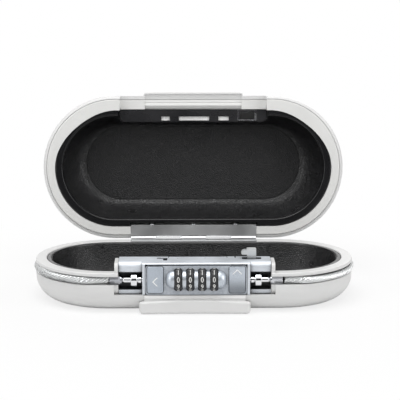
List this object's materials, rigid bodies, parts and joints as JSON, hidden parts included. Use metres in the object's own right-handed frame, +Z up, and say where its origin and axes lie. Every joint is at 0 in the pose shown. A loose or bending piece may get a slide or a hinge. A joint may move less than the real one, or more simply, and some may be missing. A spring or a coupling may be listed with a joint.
{
  "type": "portable car safe",
  "caption": "clamshell safe with rounded ends: hinged padded halves, code lock with push buttons, latch hook and a steel cable wound round the base",
  "frame": {"origin": "middle of the flat underside of the base, which rests at z = 0", "axes": "+X to the right along the long side, +Y from the lock at the front to the hinge at the back, +Z up; the lid stands open at rest"},
  "size_m": [0.2422, 0.1638, 0.1451],
  "materials": {
    "white_plastic": "white, fine satin texture",
    "rim_plastic": "off-white, satin",
    "liner": "black, moulded leather grain with a soft sheen",
    "black_plastic": "black, semi-gloss",
    "cast_zinc": "cast zinc alloy, satin silver",
    "steel": "bright zinc plate",
    "dark_steel": "dark nickel plate",
    "chrome": "polished",
    "cable": "twisted steel strands under a clear plastic coat"
  },
  "bodies": {
    "base": {"base_shell": "white_plastic", "base_rim": "white_plastic", "base_liner": "liner", "base_hinge_leaf": "steel", "base_hinge_screw_1": "steel", "base_hinge_screw_2": "steel", "base_hinge_screw_3": "steel", "hinge_pin": "steel", "security_cable": "cable", "cable_ferrule_left": "dark_steel", "cable_ferrule_right": "dark_steel", "cable_pin_left": "chrome", "cable_pin_right": "chrome", "cable_retainer": "steel", "lock_case": "cast_zinc", "lock_back_cover": "cast_zinc", "lock_faceplate": "cast_zinc", "lock_screw_1": "steel", "lock_screw_2": "steel", "lock_screw_3": "steel", "lock_screw_4": "steel", "dial_spindle": "steel", "detent_spring": "steel", "hook_pivot_pin": "steel", "hook_spring": "steel", "bolt_spring": "steel"},
    "lid": {"lid_shell": "white_plastic", "lid_rim": "rim_plastic", "lid_liner": "liner", "lock_channel": "black_plastic", "strike_plate": "steel", "strike_catch": "chrome", "lid_hinge_leaf": "steel", "lid_hinge_screw_1": "steel", "lid_hinge_screw_2": "steel", "lid_hinge_screw_3": "steel"},
    "dial_1": {"dial_1": "black_plastic", "dial_hub_1": "steel"},
    "dial_2": {"dial_2": "black_plastic", "dial_hub_2": "steel"},
    "dial_3": {"dial_3": "black_plastic", "dial_hub_3": "steel"},
    "dial_4": {"dial_4": "black_plastic", "dial_hub_4": "steel"},
    "lid_button": {"lid_button": "cast_zinc"},
    "cable_button": {"cable_button": "cast_zinc"},
    "locking_comb": {"locking_comb": "steel"},
    "latch_hook": {"latch_hook": "cast_zinc"},
    "cable_bolt": {"cable_bolt": "steel"},
    "code_lever": {"code_lever": "dark_steel"}
  },
  "joints": [
    {"name": "lid_hinge", "type": "hinge", "parent": "base", "child": "lid", "pos_m": [0, 0.0573, 0.0303], "axis": [1, 0, 0], "range_deg": [0, 98.4]},
    {"name": "dial_1_turn", "type": "hinge", "parent": "base", "child": "dial_1", "pos_m": [-0.01197, -0.0533, 0.0253], "axis": [1, 0, 0], "continuous": true},
    {"name": "dial_2_turn", "type": "hinge", "parent": "base", "child": "dial_2", "pos_m": [-0.00332, -0.0533, 0.0253], "axis": [1, 0, 0], "continuous": true},
    {"name": "dial_3_turn", "type": "hinge", "parent": "base", "child": "dial_3", "pos_m": [0.00532, -0.0533, 0.0253], "axis": [1, 0, 0], "continuous": true},
    {"name": "dial_4_turn", "type": "hinge", "parent": "base", "child": "dial_4", "pos_m": [0.01397, -0.0533, 0.0253], "axis": [1, 0, 0], "continuous": true},
    {"name": "lid_button_press", "type": "slide", "parent": "base", "child": "lid_button", "axis": [0, 1, 0], "range_m": [0, 0.002], "stiffness_N_per_m": 600, "springref_m": -0.002},
    {"name": "comb_lift", "type": "slide", "parent": "base", "child": "locking_comb", "axis": [0, 0, 1], "range_m": [0, 0.001]},
    {"name": "hook_rock", "type": "hinge", "parent": "base", "child": "latch_hook", "pos_m": [0.036, -0.0413, 0.024], "axis": [0, 1, 0], "range_deg": [0, 11.5], "deforming": ["hook_spring"]},
    {"name": "cable_button_press", "type": "slide", "parent": "base", "child": "cable_button", "axis": [0, 1, 0], "range_m": [0, 0.002], "stiffness_N_per_m": 600, "springref_m": -0.002},
    {"name": "bolt_drop", "type": "slide", "parent": "base", "child": "cable_bolt", "axis": [0, 0, -1], "range_m": [0, 0.0015], "deforming": ["bolt_spring"]},
    {"name": "code_lever_slide", "type": "slide", "parent": "base", "child": "code_lever", "axis": [1, 0, 0], "range_m": [0, 0.003]}
  ],
  "couplings": [
    {"joint": "comb_lift", "follows": "lid_button_press", "ratio": 0.5},
    {"joint": "hook_rock", "follows": "lid_button_press", "rad_per_m": 100.3},
    {"joint": "bolt_drop", "follows": "cable_button_press", "ratio": 0.75}
  ]
}
